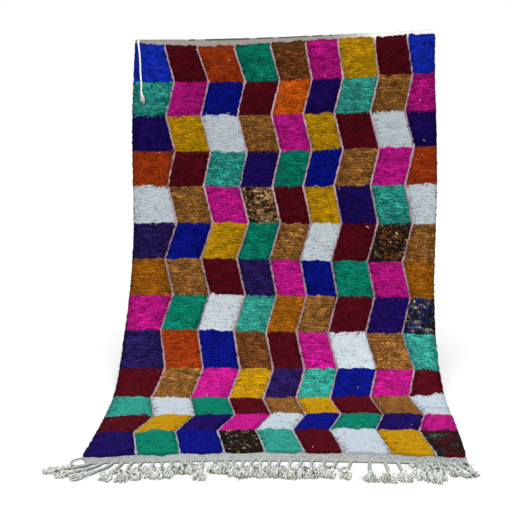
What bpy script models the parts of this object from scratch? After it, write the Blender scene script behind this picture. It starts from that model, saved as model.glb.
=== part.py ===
"""A long-pile wool rug of coloured lozenges, held at its top edge, that hangs down and lies out on the floor.

Metres, +Z up. The origin is the middle of the top edge, on the back of the cloth. +X runs to the
right as seen from the pile side, and the pile faces -Y. Places on the cloth are given as x across,
s down along it and h out from its back.
"""

import math

import bmesh
import bpy
from mathutils import Vector, noise

# Drape: the cloth hangs as a chain does, touches the floor and lies flat from there on
BEND_RADIUS = 0.335
HANG_HEIGHT = 1.6616
HANG_LENGTH = math.sqrt((HANG_HEIGHT + BEND_RADIUS) ** 2 - BEND_RADIUS**2)
HANG_RUN = BEND_RADIUS * math.acosh(1 + HANG_HEIGHT / BEND_RADIUS)

# Cloth
HALF_WIDTH = 0.750
GROUND = 0.005
PILE = 0.014
GROOVE = 0.005
DIP = 0.0015
CROWN = 0.0015
LUMP = 0.0022
HEADING_THICK = 0.004
BAND_THICK = 0.005
SELVEDGE_WIDTH = 0.012
EDGE_FALL = 0.005
LOCK_REACH = 0.013
LOCK_DROP = 0.002
LOCK_TIP = 0.012
LOCK_TIP_HEIGHTS = (0.004, 0.011)
GAP = 0.0003

# Top edge and foot: how far down the cloth each starts, at the left, the middle and the right
TOP_EDGE = (0.053, 0.043, 0.000)
FIELD_TOP = (0.081, 0.076, 0.043)
BAND_DEPTH = (0.057, 0.071, 0.068)

# Sag of the field's first row, left of the middle
SAG = 0.021
SAG_AT = -0.36
SAG_WIDTH = 0.34

# Folds of the hanging cloth, and the crease where it meets the floor
SLANT_WAVE = 0.006
UPRIGHT_WAVE = 0.004
CREASE = 0.011
CREASE_AT = (-0.18, 1.80)
CREASE_SIZE = (0.20, 0.045)
CREASE_SLANT = 0.16

# Bands of lozenges from the top: height at the left, the middle and the right, in millimetres
BANDS = (
    (181, 181, 173),
    (171, 168, 185),
    (175, 181, 172),
    (176, 178, 192),
    (186, 182, 197),
    (181, 183, 197),
    (186, 179, 173),
    (178, 181, 183),
    (207, 195, 183),
    (193, 190, 150),
    (215, 160, 175),
    (155, 158, 160),
    (194, 183, 215),
)

# Columns of lozenges: widths from the left, in millimetres
COLUMNS = (191, 178, 179, 162, 153, 153, 180, 172, 132)
ZIGZAG = 0.021

# Fringe cords on the floor, in mm: root from the left, sideways run and length to the knot, tail and its spread
FRINGE = (
    (50, -140, 60, 50, 7),
    (92, -125, 88, 52, 7),
    (134, -104, 108, 52, 8),
    (172, -30, 95, 50, 11),
    (208, -12, 100, 52, 12),
    (246, -5, 82, 50, 12),
    (286, 6, 70, 50, 8),
    (322, 2, 84, 48, 8),
    (358, 3, 72, 50, 10),
    (396, 4, 44, 42, 8),
    (432, 2, 52, 40, 8),
    (478, 4, 95, 50, 12),
    (526, 6, 40, 42, 10),
    (566, 3, 50, 44, 8),
    (602, 0, 68, 46, 8),
    (638, -2, 84, 50, 8),
    (672, -1, 70, 50, 8),
    (706, 0, 78, 48, 8),
    (740, -1, 76, 50, 8),
    (776, -2, 82, 48, 9),
    (820, -3, 88, 50, 10),
    (862, -3, 84, 50, 11),
    (904, -5, 76, 50, 11),
    (952, -12, 70, 50, 8),
    (996, -20, 74, 52, 8),
    (1052, -18, 80, 54, 8),
    (1125, -4, 92, 58, 20),
    (1182, 5, 98, 56, 17),
    (1231, 13, 86, 56, 15),
    (1300, 6, 56, 62, 6),
    (1328, 7, 70, 66, 6),
    (1356, 6, 76, 68, 6),
    (1383, 4, 60, 60, 5),
    (1414, 12, 34, 46, 5),
    (1442, 20, 44, 44, 4),
    (1470, 24, 40, 38, 4),
)
CORD_WIDTH = 0.010
CORD_HEIGHT = 0.009
CORD_BOW = 0.004
CORD_STATIONS = (0.18, 0.5, 0.84)
KNOT_WIDTH = 0.017
KNOT_HEIGHT = 0.014
KNOT_START = 0.007
KNOT_END = 0.016
TAILS = 3
TAIL_START = 0.022
TAIL_WIDTH = 0.008
TAIL_HEIGHT = 0.010
TAIL_FALL = 0.004
TAIL_TAPER = 0.6
TAIL_GAP = 0.001
OUTER_TAIL_SHARE = 0.86

# Corner ring: a cord end that curls back at the left of the foot, as steps across and down the cloth, mm
RING_PATH = ((-4, 12), (-20, 16), (-36, 6), (-42, -12), (-36, -30), (-22, -40))
RING_ROOT = 0.014

# Corner braid: x, s and h of its route from the top left corner down over the pile
BRAID_ROUTE = (
    (-0.7240, 0.0540, 0.0086),
    (-0.7230, 0.0620, 0.0125),
    (-0.7220, 0.0740, 0.0245),
    (-0.7200, 0.0860, 0.0285),
    (-0.7160, 0.1200, 0.0290),
    (-0.7120, 0.1700, 0.0292),
    (-0.7100, 0.2300, 0.0290),
    (-0.7065, 0.2700, 0.0290),
    (-0.7060, 0.3200, 0.0290),
)
BRAID_RADIUS = 0.0042
BRAID_STEP = 0.010
TASSEL_LENGTH = 0.062
TASSEL_NECK = 0.009
TASSEL_WIDTH = 0.014
TASSEL_HEIGHT = 0.009
TASSEL_LEAN = 0.18
TASSEL_LOCKS = 4
TASSEL_LOCK_START = 0.022
TASSEL_LOCK_STEP = 0.0028
TASSEL_LOCK_SPREAD = 0.0022
TASSEL_LOCK_WIDTH = 0.0022
TASSEL_LOCK_TIP_WIDTH = 0.0016
TASSEL_LOCK_HEIGHT = 0.0065
TASSEL_LOCK_FALL = 0.002

ROWS_PER_BAND = 4
COLUMN_STEPS = (0.0, 0.12, 0.5, 0.88)


def three_point(values, x):
    """The smooth curve through three values at the left edge, the middle and the right edge."""
    t = x / HALF_WIDTH
    left, middle, right = values
    return middle + t * (right - left) / 2 + t * t * ((right + left) / 2 - middle)


def smooth(low, high, value):
    """A soft step from 0 at low to 1 at high."""
    t = min(1.0, max(0.0, (value - low) / (high - low)))
    return t * t * (3 - 2 * t)


def boundary_row(k):
    """Where the line under band k lies at the left, the middle and the right, with k = 0 its top."""
    return [start + sum(band[i] for band in BANDS[:k]) / 1000 for i, start in enumerate(FIELD_TOP)]


BOUNDARIES = [boundary_row(k) for k in range(len(BANDS) + 1)]
FOOT = [BOUNDARIES[-1][i] + BAND_DEPTH[i] for i in range(3)]


def left_edge(s):
    """The left edge of the cloth, which wanders a little."""
    return -HALF_WIDTH + 0.002 - 0.008 * math.cos(2 * math.pi * (s - 0.5) / 1.15)


def right_edge(s):
    """The right edge of the cloth, which wanders in longer waves."""
    return HALF_WIDTH + 0.001 + 0.010 * math.cos(2 * math.pi * (s - 0.72) / 1.38)


def drift(u, v):
    """How far the columns bow away from even places, as a share of the width."""
    to_right = smooth(0.2, 0.65, u)
    left_bow = 0.028 * math.sin(math.pi * v) - 0.018
    right_bow = 0.012 - 0.027 * v
    return (left_bow * (1 - to_right) + right_bow * to_right) * 4 * u * (1 - u)


def separators(k):
    """Shares of the width at which the columns meet on the line under band k, with both edges."""
    total = sum(COLUMNS)
    shares = []
    for j in range(1, len(COLUMNS)):
        even = sum(COLUMNS[:j]) / total
        zigzag = ZIGZAG / (2 * HALF_WIDTH) * (-1 if k % 2 == 0 else 1)
        shares.append(even + zigzag + drift(even, k / len(BANDS)))
    return [0.0] + shares + [1.0]


def fold(x, s):
    """How far the hanging cloth stands off its even curve, fading out where it lies on the floor."""
    hanging = smooth(0.0, 0.5, HANG_LENGTH - s)
    slanting = SLANT_WAVE * math.sin(2 * math.pi * (x / 1.1 + s / 2.3))
    upright = UPRIGHT_WAVE * math.sin(7.5 * x - 1.0)
    off_x = x - CREASE_AT[0]
    across = off_x / CREASE_SIZE[0]
    along = (s - CREASE_AT[1] - CREASE_SLANT * off_x) / CREASE_SIZE[1]
    crease = CREASE * math.exp(-across * across - along * along) * smooth(0.0, 0.06, HANG_LENGTH - s)
    return (slanting + upright) * hanging * smooth(0.0, 0.25, s) + crease


def drape(s):
    """Forward run, height and outward direction of the back of the cloth at s."""
    rest = HANG_LENGTH - s
    if rest <= 0:
        return HANG_RUN - rest, 0.0, (0.0, 1.0)
    slant = math.hypot(BEND_RADIUS, rest)
    forward = HANG_RUN - BEND_RADIUS * math.asinh(rest / BEND_RADIUS)
    return forward, slant - BEND_RADIUS, (rest / slant, BEND_RADIUS / slant)


START_FORWARD, START_HEIGHT, _ = drape(TOP_EDGE[1])


def place(x, s, h):
    """The point in space at x across, s down the cloth and h out from its back."""
    forward, height, (out, up) = drape(s)
    h = h + fold(x, s)
    return Vector((x, START_FORWARD - forward - h * out, height + h * up - START_HEIGHT))


def lump(x, s):
    """The soft unevenness of the pile."""
    return noise.noise(Vector((x * 21, s * 21, 3.7))) + 0.5 * noise.noise(Vector((x * 47, s * 47, 9.1)))


def make_node(name, mesh_tool, colour, roughness):
    """Turns a finished bmesh into a named object with its own material."""
    bmesh.ops.recalc_face_normals(mesh_tool, faces=mesh_tool.faces)
    mesh = bpy.data.meshes.new(name)
    mesh_tool.to_mesh(mesh)
    mesh_tool.free()
    return make_object(name, mesh, colour, roughness)


def make_object(name, data, colour, roughness):
    """Links an object of that data and gives it a material."""
    node = bpy.data.objects.new(name, data)
    bpy.context.scene.collection.objects.link(node)
    material = bpy.data.materials.new(name)
    material.use_nodes = True
    shader = material.node_tree.nodes["Principled BSDF"]
    shader.inputs["Base Color"].default_value = (*colour, 1.0)
    shader.inputs["Roughness"].default_value = roughness
    shader.inputs["Metallic"].default_value = 0.0
    data.materials.append(material)
    return node


def field_rows():
    """Each row of the field: its band, how far down that band it lies, from the first to the last line."""
    rows = [(k, r / ROWS_PER_BAND) for k in range(len(BANDS)) for r in range(ROWS_PER_BAND)]
    return rows + [(len(BANDS) - 1, 1.0)]


def sag(x):
    """How far the field's first line sags at x."""
    return SAG * math.exp(-(((x - SAG_AT) / SAG_WIDTH) ** 2))


def row_line(k, part, x):
    """How far down the cloth a row lies at x, with the sag of the first line fading out down its band."""
    ends = [a + (b - a) * part for a, b in zip(BOUNDARIES[k], BOUNDARIES[k + 1])]
    return three_point(ends, x) + (sag(x) * (1 - part) if k == 0 else 0.0)


def row_knots(k, part):
    """x and s at each column line of a row, from the field's left side to its right side."""
    left = left_edge(row_line(k, part, -HALF_WIDTH)) + SELVEDGE_WIDTH
    right = right_edge(row_line(k, part, HALF_WIDTH)) - SELVEDGE_WIDTH
    shares = [a + (b - a) * part for a, b in zip(separators(k), separators(k + 1))]
    knots = [(left + (right - left) * share) for share in shares]
    return [(x, row_line(k, part, x)) for x in knots]


def build_field():
    """The knotted field: a lumpy slab with a groove along every line between columns."""
    tool = bmesh.new()
    fronts = []
    backs = []
    for k, part in field_rows():
        knots = row_knots(k, part)
        front = []
        dip = DIP * (1 - math.sin(math.pi * part))
        for (x0, s0), (x1, s1) in zip(knots, knots[1:]):
            for step in COLUMN_STEPS:
                x = x0 + (x1 - x0) * step
                s = s0 + (s1 - s0) * step
                groove = GROOVE if step == 0.0 and x0 != knots[0][0] else 0.0
                crown = CROWN * math.sin(math.pi * step)
                h = GROUND + PILE - groove + crown - dip + LUMP * lump(x, s)
                front.append(tool.verts.new(place(x, s, h)))
        x, s = knots[-1]
        front.append(tool.verts.new(place(x, s, GROUND + PILE - dip + LUMP * lump(x, s))))
        fronts.append(front)
        backs.append([tool.verts.new(place(x, s, 0)) for x, s in knots])
    steps = len(COLUMN_STEPS)
    flat_from = first_flat_row(backs)
    for r in range(len(fronts) - 1):
        for c in range(len(fronts[r]) - 1):
            tool.faces.new((fronts[r][c], fronts[r + 1][c], fronts[r + 1][c + 1], fronts[r][c + 1]))
        if r < flat_from:
            for c in range(len(backs[r]) - 1):
                tool.faces.new((backs[r][c], backs[r][c + 1], backs[r + 1][c + 1], backs[r + 1][c]))
        for side in (0, -1):
            tool.faces.new((fronts[r][side], backs[r][side], backs[r + 1][side], fronts[r + 1][side]))
    for row in (0, -1):
        for c in range(len(backs[row]) - 1):
            arc = fronts[row][c * steps : (c + 1) * steps + 1]
            tool.faces.new(arc + [backs[row][c + 1], backs[row][c]])
    sides = [backs[r] for r in range(flat_from, len(backs))]
    outline = sides[0] + [row[-1] for row in sides[1:-1]] + sides[-1][::-1]
    outline += [row[0] for row in sides[-2:0:-1]]
    tool.faces.new(outline)
    used = {vert for face in tool.faces for vert in face.verts}
    bmesh.ops.delete(tool, geom=[vert for vert in tool.verts if vert not in used], context="VERTS")
    make_node("pile_field", tool, (0.30, 0.12, 0.16), 0.95)


def first_flat_row(backs):
    """The first row whose back lies on the floor all along."""
    floor = min(vert.co.z for vert in backs[-1])
    for r, row in enumerate(backs):
        if all(vert.co.z - floor < 1e-6 for vert in row):
            return r
    return len(backs) - 1


def build_selvedge(name, side):
    """A narrow shaggy edge strip, with a drooping lock at every row."""
    tool = bmesh.new()
    rings = []
    for k, part in field_rows():
        x_in, s = row_knots(k, part)[0 if side < 0 else -1]
        inner = x_in + side * GAP
        outer = x_in + side * (SELVEDGE_WIDTH + 0.002 * lump(x_in + 5, s))
        top = GROUND + PILE - 0.002 + LUMP * lump(inner, s)
        ring = [(inner, s, 0.0), (inner, s, top), (outer, s, top - EDGE_FALL), (outer, s, 0.0)]
        rings.append([tool.verts.new(place(*point)) for point in ring])
    outer_faces = []
    for a, b in zip(rings, rings[1:]):
        for i in range(4):
            j = (i + 1) % 4
            face = tool.faces.new((a[i], a[j], b[j], b[i]))
            if i == 2:
                outer_faces.append(face)
    tool.faces.new(rings[0])
    tool.faces.new(rings[-1])
    rows = field_rows()
    for face, row in zip(outer_faces, rows[1:]):
        x_in, s = row_knots(*row)[0 if side < 0 else -1]
        grow_lock(tool, face, x_in + side * SELVEDGE_WIDTH, s, side)
    make_node(name, tool, (0.45, 0.40, 0.40), 0.95)


def grow_lock(tool, face, x, foot_s, side):
    """Draws one side face out into a lock of wool that droops down the cloth."""
    reach = LOCK_REACH * (0.75 + 0.5 * noise.noise(Vector((foot_s * 31, side * 2.0, 0.4))))
    tip = bmesh.ops.extrude_discrete_faces(tool, faces=[face])["faces"][0]
    tip_s = foot_s + LOCK_DROP
    low, high = LOCK_TIP_HEIGHTS
    corners = ((tip_s - LOCK_TIP, high), (tip_s - LOCK_TIP, low), (tip_s, low), (tip_s, high))
    for vert, (s, h) in zip(tip.verts, corners):
        vert.co = place(x + side * reach, s, h)


def heading_knots(k, part):
    """x and s along a heading's edge that faces the field, with the cloth's own edges added."""
    knots = row_knots(k, part)
    (left_x, left_s), (right_x, right_s) = knots[0], knots[-1]
    return [(left_x - SELVEDGE_WIDTH, left_s)] + knots + [(right_x + SELVEDGE_WIDTH, right_s)]


def build_top_heading():
    """The flat-woven band above the field, which carries the rug."""
    tool = bmesh.new()
    lower = heading_knots(0, 0.0)
    rows = []
    for part in (0.0, 0.5, 1.0):
        row = []
        for x, s in lower:
            top_s = three_point(TOP_EDGE, x)
            row.append((x, top_s + (s - GAP - top_s) * part))
        rows.append(row)
    slab(tool, rows, HEADING_THICK)
    make_node("top_heading", tool, (0.56, 0.52, 0.50), 0.95)


def slab(tool, rows, thick):
    """A closed sheet of the given thickness over rows of x and s."""
    front = [[tool.verts.new(place(x, s, thick)) for x, s in row] for row in rows]
    back = [[tool.verts.new(place(x, s, 0.0)) for x, s in row] for row in rows]
    for r in range(len(rows) - 1):
        for c in range(len(rows[r]) - 1):
            tool.faces.new((front[r][c], front[r + 1][c], front[r + 1][c + 1], front[r][c + 1]))
            tool.faces.new((back[r][c], back[r][c + 1], back[r + 1][c + 1], back[r + 1][c]))
        for side in (0, -1):
            tool.faces.new((front[r][side], back[r][side], back[r + 1][side], front[r + 1][side]))
    for end in (0, -1):
        for c in range(len(rows[end]) - 1):
            tool.faces.new((front[end][c], front[end][c + 1], back[end][c + 1], back[end][c]))


def fringe_path(root_x, root_s, sway, reach):
    """A cord's centre line on the floor from its root to its knot, as x and s."""
    path = []
    for share in CORD_STATIONS:
        bow = CORD_BOW * math.sin(math.pi * share) * (1 if sway > 0 else -1)
        path.append((root_x + sway * share * share + bow, root_s + reach * share))
    return path


def cross_ring(tool, x, s, direction, width, height, splits):
    """A flat-bottomed ring across a cord: splits + 1 points along its floor side and as many above."""
    dx, ds = direction
    length = math.hypot(dx, ds)
    side_x, side_s = ds / length, -dx / length
    ring = []
    for level in (0.0, height):
        points = []
        for i in range(splits + 1):
            offset = (i / splits - 0.5) * width
            points.append(tool.verts.new(place(x + side_x * offset, s + side_s * offset, level)))
        ring.append(points)
    return ring


def bridge(tool, near, far):
    """Walls between two rings whose floor and upper sides may have different numbers of points."""
    for near_side, far_side in zip(near, far):
        tool.faces.new(near_side + far_side[::-1])
    for end in (0, -1):
        tool.faces.new((near[0][end], near[1][end], far[1][end], far[0][end]))


def cap(tool, ring):
    """Closes a ring with faces between its floor side and its upper side."""
    floor_side, upper_side = ring
    for i in range(len(floor_side) - 1):
        tool.faces.new((floor_side[i], floor_side[i + 1], upper_side[i + 1], upper_side[i]))


def grow_cord(tool, root, points):
    """A cord through its points. Gives its last ring and the way it runs there."""
    ring = root
    for i, (x, s) in enumerate(points):
        before, after = points[max(i - 1, 0)], points[min(i + 1, len(points) - 1)]
        way = (after[0] - before[0], after[1] - before[1])
        near, ring = ring, cross_ring(tool, x, s, way, CORD_WIDTH, CORD_HEIGHT, 1)
        bridge(tool, near, ring)
    length = math.hypot(*way)
    return ring, (way[0] / length, way[1] / length)


def grow_tassel(tool, ring, end, way, tail, spread):
    """A knot past a cord's end, and the locks that fan out from it."""
    for ahead, width, height, splits in (
        (KNOT_START, KNOT_WIDTH, KNOT_HEIGHT, 1),
        (KNOT_END, KNOT_WIDTH, KNOT_HEIGHT, 1),
        (TAIL_START, CORD_WIDTH, CORD_HEIGHT, TAILS),
    ):
        x, s = end[0] + way[0] * ahead, end[1] + way[1] * ahead
        near, ring = ring, cross_ring(tool, x, s, way, width, height, splits)
        bridge(tool, near, ring)
    for i in range(TAILS):
        grow_tail(tool, ring, i, (x, s), way, tail, spread)


def grow_tail(tool, knot_end, index, start, way, tail, spread):
    """One lock of a tassel, from its share of the knot's end to its tip."""
    root = [side[index : index + 2] for side in knot_end]
    side_x, side_s = way[1], -way[0]
    outer = index - (TAILS - 1) / 2
    for share, widest in ((0.5, TAIL_WIDTH), (1.0, TAIL_WIDTH * TAIL_TAPER)):
        apart = CORD_WIDTH / TAILS + spread * share
        width = min(widest, apart - TAIL_GAP)
        offset = outer * apart
        length = tail * share * (OUTER_TAIL_SHARE if outer else 1.0)
        x = start[0] + way[0] * length + side_x * offset
        s = start[1] + way[1] * length + side_s * offset
        ring = cross_ring(tool, x, s, way, width, TAIL_HEIGHT - TAIL_FALL * share, 1)
        bridge(tool, root, ring)
        root = ring
    cap(tool, root)


def build_bottom_heading():
    """The flat-woven band at the foot, with the knotted fringe growing from its edge."""
    tool = bmesh.new()
    upper = [(x, s + GAP) for x, s in heading_knots(len(BANDS) - 1, 1.0)]
    left_x, right_x = upper[0][0], upper[-1][0]
    roots = [left_x + RING_ROOT] + [left_x + row[0] / 1000 for row in FRINGE]
    edge = [left_x]
    for x in roots:
        edge += [x - CORD_WIDTH * 0.4, x + CORD_WIDTH * 0.4]
    edge.append(right_x)
    lower = [(x, three_point(FOOT, x)) for x in edge]
    upper_ring = [[tool.verts.new(place(x, s, h)) for x, s in upper] for h in (0.0, BAND_THICK)]
    lower_ring = [[tool.verts.new(place(x, s, h)) for x, s in lower] for h in (0.0, BAND_THICK)]
    bridge(tool, upper_ring, lower_ring)
    cap(tool, upper_ring)
    for i in range(0, len(edge) - 1, 2):
        cap(tool, [side[i : i + 2] for side in lower_ring])
    for i, x in enumerate(roots):
        root = [side[2 * i + 1 : 2 * i + 3] for side in lower_ring]
        root_s = three_point(FOOT, x)
        if i == 0:
            points = [(x + dx / 1000, root_s + ds / 1000) for dx, ds in RING_PATH]
            cap(tool, grow_cord(tool, root, points)[0])
        else:
            _, sway, reach, tail, spread = FRINGE[i - 1]
            points = fringe_path(x, root_s, sway / 1000, reach / 1000)
            ring, way = grow_cord(tool, root, points)
            grow_tassel(tool, ring, points[-1], way, tail / 1000, spread / 1000)
    make_node("bottom_heading", tool, (0.52, 0.50, 0.47), 0.95)


def smooth_route(points, step):
    """Points at even steps along a smooth curve through a route's own points."""
    route = [Vector(point) for point in points]
    fine = []
    padded = [route[0] * 2 - route[1]] + route + [route[-1] * 2 - route[-2]]
    for a, b, c, d in zip(padded, padded[1:], padded[2:], padded[3:]):
        for i in range(20):
            t = i / 20
            bend = (2 * b) + (c - a) * t + (2 * a - 5 * b + 4 * c - d) * t**2 + (3 * b - a - 3 * c + d) * t**3
            fine.append(bend / 2)
    fine.append(route[-1])
    spaced = [fine[0]]
    for point in fine[1:]:
        if (point - spaced[-1]).length >= step:
            spaced.append(point)
    return spaced


def build_braid():
    """The pale braided end at the top left corner, which hangs over the pile."""
    route = [place(*point) for point in smooth_route(BRAID_ROUTE, BRAID_STEP)]
    curve = bpy.data.curves.new("corner_braid", "CURVE")
    curve.dimensions = "3D"
    curve.bevel_depth = BRAID_RADIUS
    curve.bevel_resolution = 2
    curve.use_fill_caps = True
    spline = curve.splines.new("POLY")
    spline.points.add(len(route) - 1)
    for point, spot in zip(spline.points, route):
        point.co = (*spot, 1.0)
    make_object("corner_braid", curve, (0.72, 0.71, 0.68), 0.9)


def build_braid_tassel():
    """The thick knotted end of the braid, with its locks."""
    tool = bmesh.new()
    x0, s0, h0 = smooth_route(BRAID_ROUTE, BRAID_STEP)[-1]
    base = h0 - TASSEL_HEIGHT / 2
    start = s0 + GAP

    def ring_at(middle, ahead, width, height, splits):
        across = [middle + (i / splits - 0.5) * width for i in range(splits + 1)]
        levels = (base, base + height)
        return [[tool.verts.new(place(x, start + ahead, level)) for x in across] for level in levels]

    rings = []
    for ahead, width, height, splits in (
        (0.0, TASSEL_NECK, TASSEL_HEIGHT, 1),
        (0.006, TASSEL_WIDTH, TASSEL_HEIGHT, 1),
        (0.016, TASSEL_WIDTH, TASSEL_HEIGHT, 1),
        (TASSEL_LOCK_START, TASSEL_WIDTH * 0.8, TASSEL_HEIGHT * 0.8, TASSEL_LOCKS),
    ):
        rings.append(ring_at(x0 + TASSEL_LEAN * ahead, ahead, width, height, splits))
    cap(tool, rings[0])
    for near, far in zip(rings, rings[1:]):
        bridge(tool, near, far)
    for i in range(TASSEL_LOCKS):
        root = [side[i : i + 2] for side in rings[-1]]
        outer = i - (TASSEL_LOCKS - 1) / 2
        for share, width in ((0.5, TASSEL_LOCK_WIDTH), (1.0, TASSEL_LOCK_TIP_WIDTH)):
            along = TASSEL_LOCK_START + (TASSEL_LENGTH - TASSEL_LOCK_START) * share * (1 - 0.08 * (i % 2))
            middle = x0 + TASSEL_LEAN * along + outer * (TASSEL_LOCK_STEP + TASSEL_LOCK_SPREAD * share)
            ring = ring_at(middle, along, width, TASSEL_LOCK_HEIGHT - TASSEL_LOCK_FALL * share, 1)
            bridge(tool, root, ring)
            root = ring
        cap(tool, root)
    make_node("braid_tassel", tool, (0.72, 0.71, 0.68), 0.9)


for old in list(bpy.data.objects):
    bpy.data.objects.remove(old)
build_field()
build_selvedge("left_selvedge", -1)
build_selvedge("right_selvedge", 1)
build_top_heading()
build_bottom_heading()
build_braid()
build_braid_tassel()
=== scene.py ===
"""The long-pile rug as it hangs and lies: woven ground, knotted wool pile, headings, fringe and corner braid.

Places on the cloth are given as x across, s down along it and h out from its back, in metres.
"""

import math

import bpy
import numpy as np
from mathutils import Matrix, noise


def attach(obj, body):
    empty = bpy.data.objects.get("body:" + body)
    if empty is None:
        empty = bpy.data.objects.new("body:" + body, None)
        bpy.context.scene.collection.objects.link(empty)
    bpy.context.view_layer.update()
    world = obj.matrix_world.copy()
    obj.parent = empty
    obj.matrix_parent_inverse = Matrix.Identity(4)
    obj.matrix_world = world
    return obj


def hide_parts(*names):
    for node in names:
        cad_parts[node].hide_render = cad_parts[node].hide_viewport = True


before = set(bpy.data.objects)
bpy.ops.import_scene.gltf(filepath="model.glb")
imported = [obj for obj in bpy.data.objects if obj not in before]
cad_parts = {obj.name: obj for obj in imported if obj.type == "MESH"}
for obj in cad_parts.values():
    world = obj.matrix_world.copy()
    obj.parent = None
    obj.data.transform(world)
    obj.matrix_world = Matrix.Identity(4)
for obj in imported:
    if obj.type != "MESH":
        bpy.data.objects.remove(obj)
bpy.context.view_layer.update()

# Drape and cloth, as the solids have them
BEND_RADIUS = 0.335
HANG_HEIGHT = 1.6616
HANG_LENGTH = math.sqrt((HANG_HEIGHT + BEND_RADIUS) ** 2 - BEND_RADIUS**2)
HANG_RUN = BEND_RADIUS * math.acosh(1 + HANG_HEIGHT / BEND_RADIUS)
HALF_WIDTH = 0.750
GROUND = 0.005
PILE = 0.014
GROOVE = 0.005
BAND_THICK = 0.005
SELVEDGE_WIDTH = 0.012
TOP_EDGE = (0.053, 0.043, 0.000)
FIELD_TOP = (0.081, 0.076, 0.043)
BAND_DEPTH = (0.057, 0.071, 0.068)
SAG = 0.021
SAG_AT = -0.36
SAG_WIDTH = 0.34
COLUMNS = (191, 178, 179, 162, 153, 153, 180, 172, 132)
ZIGZAG = 0.021
# Side edges: where they run, how far they wave, where one wave crests and how long it is
LEFT_EDGE = (0.002 - HALF_WIDTH, -0.008, 0.50, 1.15)
RIGHT_EDGE = (HALF_WIDTH + 0.001, 0.010, 0.72, 1.38)
# Bows of the columns at the left and the right, as shares of the width: how deep and how far off even
LEFT_BOW = (0.028, -0.018)
RIGHT_BOW = (-0.027, 0.012)
# How far the column lines leave their zigzag on the first line, a middle one, the last but one and the foot
FIRST_SHIFT = 0.0155
MIDDLE_SHIFT = 0.012
LAST_SHIFT = 0.011
FOOT_SHIFT = 0.006
# Which line is that middle one, counted from 0
MIDDLE_LINE = 6
# Folds of the hanging cloth: the heights of two waves, then the crease's height, middle, size and slant
WAVE_HEIGHTS = (0.006, 0.004)
CREASE_HEIGHT = 0.011
CREASE_AT = (-0.18, 1.80)
CREASE_SIZE = (0.20, 0.045)
CREASE_SLANT = 0.16
# How far inside the side edges the columns start
FIELD_MARGIN = 0.003
# How far above the floor's first touch the looks change from hanging to lying
FLOOR_BLEND = 0.2

# Bands from the top: height at the left, the middle and the right in millimetres, and wools from the left
BANDS = (
    (181, 181, 173, "blue wine orange green brown magenta yellow wine blue"),
    (171, 168, 185, "teal magenta cobalt wine amber indigo mint tan magenta"),
    (175, 181, 172, "indigo yellow white tan pink yellow wine white indigo"),
    (176, 178, 192, "orange wine teal indigo green cobalt tan pink orange"),
    (186, 182, 197, "white tan pink dark_fleck wine yellow indigo teal white"),
    (181, 183, 197, "purple cobalt yellow green tan white wine brown_fleck tan"),
    (186, 179, 173, "gold tan wine purple pink cobalt green magenta gold"),
    (178, 181, 183, "magenta green white mint gold tan wine indigo night_fleck"),
    (207, 195, 183, "purple orange cobalt brown wine pink white tan mint"),
    (193, 190, 150, "wine tan pink yellow purple mint cobalt magenta wine"),
    (215, 160, 175, "mint milk green wine tan yellow wine tan milk"),
    (155, 158, 160, "wine yellow indigo pink milk cobalt green indigo magenta"),
    (194, 183, 215, "indigo green cobalt char_fleck mint wine milk yellow wine_stripe"),
)

# Wools: sRGB out of 255, and how much the rows streak them, in colour and in painted ridge shade
WOOLS = {
    "cobalt": (0, 4, 75, 1.6),
    "blue": (6, 24, 115, 1.8),
    "wine": (47, 0, 6, 1.2),
    "amber": (126, 52, 3, 1.6),
    "orange": (97, 30, 3, 1.3),
    "green": (0, 75, 60, 1.6),
    "teal": (21, 87, 79, 2.4),
    "mint": (27, 95, 85, 1.7),
    "brown": (64, 34, 11, 2.2),
    "tan": (82, 52, 20, 2.6),
    "magenta": (113, 6, 76, 1.7),
    "pink": (120, 8, 83, 1.6),
    "yellow": (117, 86, 1, 1.4),
    "gold": (93, 52, 2, 1.6),
    "indigo": (11, 1, 51, 1.5),
    "purple": (17, 8, 46, 2.5),
    "white": (133, 140, 144, 0.35),
    # The white wool where it lies on the floor, with painted shade: darker than white so the stronger light
    # there does not brighten it
    "milk": (118, 126, 132, 0.35),
    "pale": (138, 114, 122, 0.5),
    "lilac": (128, 131, 139, 0.5),
    "bleached": (206, 205, 202, 0.3),
    "weave": (130, 126, 121, 0.3),
    "foot": (103, 109, 108, 0.3),
    "blush": (134, 108, 106, 0.3),
    "cord": (154, 159, 153, 0.3),
    "twine": (120, 126, 122, 0.3),
    "straw": (128, 124, 104, 0.3),
    "ash": (62, 64, 60, 0.3),
    "black": (11, 8, 8, 2.2),
    "beige": (116, 92, 62, 2.2),
    "slate": (40, 52, 64, 2.0),
    "moss": (34, 46, 40, 2.0),
}
# Mixed wools: how fine their streaks are across and down the cloth, the wools and how often each comes
MIXES = {
    "dark_fleck": (28, 130, (("black", 0.50), ("brown", 0.18), ("beige", 0.32))),
    "char_fleck": (80, 180, (("black", 0.80), ("brown", 0.08), ("beige", 0.12))),
    "brown_fleck": (50, 120, (("black", 0.62), ("brown", 0.33), ("beige", 0.05))),
    "night_fleck": (24, 140, (("black", 0.52), ("cobalt", 0.10), ("slate", 0.22), ("beige", 0.16))),
    "wine_stripe": (11, 40, (("wine", 0.42), ("black", 0.33), ("moss", 0.25))),
}

# Knot rows: rows in a band, steps along a lozenge, half the width of a pale line and how ragged the ends are
KNOT_ROWS = 13
ROW_STEPS = 19
LINE_HALF_WIDTH = 0.0052
RAGGED = 0.0021
# Pale lines: steps down a band, how much painted shade darkens them where they sink between the pile and from
# where to where, and where they turn bluish
LINE_STEPS = 30
LINE_SHADE_DEPTH = 0.50
LINE_SHADE_SPAN = (0.75, 1.35)
BLUISH_SPAN = (2.05, 2.35)
# Across a knot row: how far down its pitch, how high above the pile's top, and the shade or highlight painted
# on each point
ROW_PROFILE = (
    (-1.05, -0.0050, -0.22),
    (-0.10, -0.0016, -0.22),
    (0.45, 0.0003, 0.16),
    (1.05, -0.0004, 0.08),
    (1.30, -0.0024, -0.20),
)
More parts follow.
